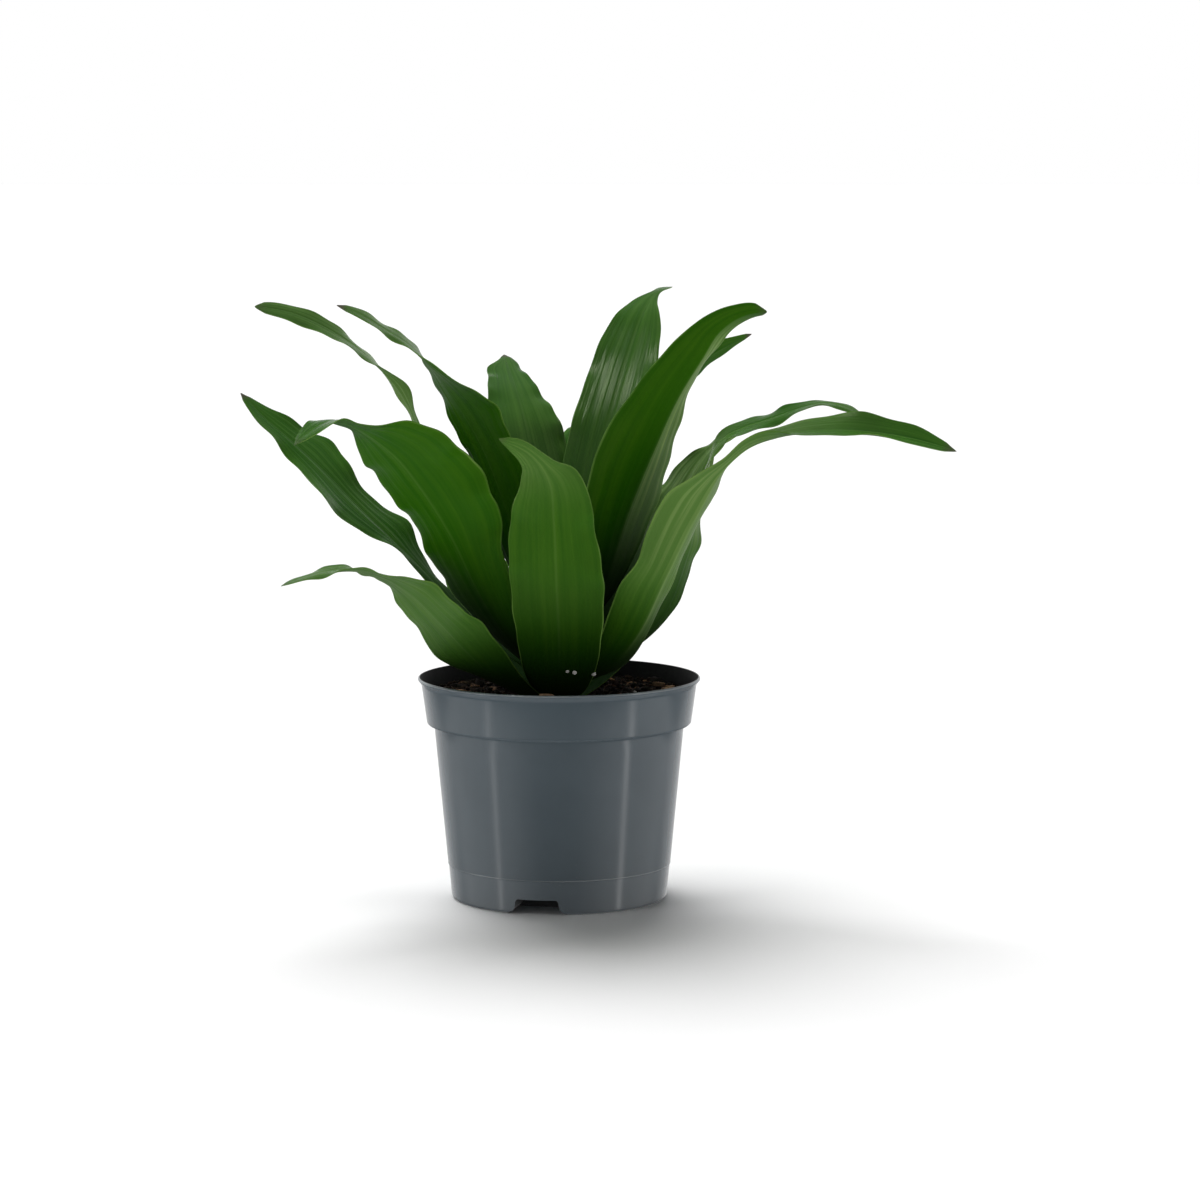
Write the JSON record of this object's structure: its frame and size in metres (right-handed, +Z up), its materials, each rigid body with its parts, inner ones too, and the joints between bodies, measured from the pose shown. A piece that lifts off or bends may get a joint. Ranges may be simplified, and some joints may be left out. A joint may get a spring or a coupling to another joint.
{
  "type": "potted dracaena",
  "caption": "Young potted dracaena: a rosette of long tapering leaves with pale margins on a short cane, in soil in a round nursery pot with a banded rim.",
  "frame": {"origin": "middle of the pot's underside, on the surface that the pot stands on", "axes": "+Z up; +X to the right of the front view, the way the longest leaf reaches; -Y towards the front"},
  "size_m": [0.299, 0.2114, 0.2574],
  "materials": {
    "pot": "satin moulded polypropylene, dark blue-grey",
    "soil": "dark crumbly peat with bits of bark",
    "cane": "young green cane",
    "leaf": "leathery green blade, glossy above and duller below, with fine lengthwise veins",
    "bark": "dry tan bark chip"
  },
  "bodies": {
    "root": {"pot": "pot", "soil": "soil", "cane": "cane", "spear": "leaf", "leaf_01": "leaf", "leaf_02": "leaf", "leaf_03": "leaf", "leaf_04": "leaf", "leaf_05": "leaf", "leaf_06": "leaf", "leaf_07": "leaf", "leaf_08": "leaf", "leaf_09": "leaf", "leaf_10": "leaf", "leaf_11": "leaf", "leaf_12": "leaf", "leaf_13": "leaf", "leaf_14": "leaf", "leaf_15": "leaf", "leaf_16": "leaf", "leaf_17": "leaf", "bark_chip_1": "bark", "bark_chip_2": "bark", "bark_chip_3": "bark", "bark_chip_4": "bark", "bark_chip_5": "bark", "bark_chip_6": "bark", "bark_chip_7": "bark", "bark_chip_8": "bark"}
  },
  "joints": []
}
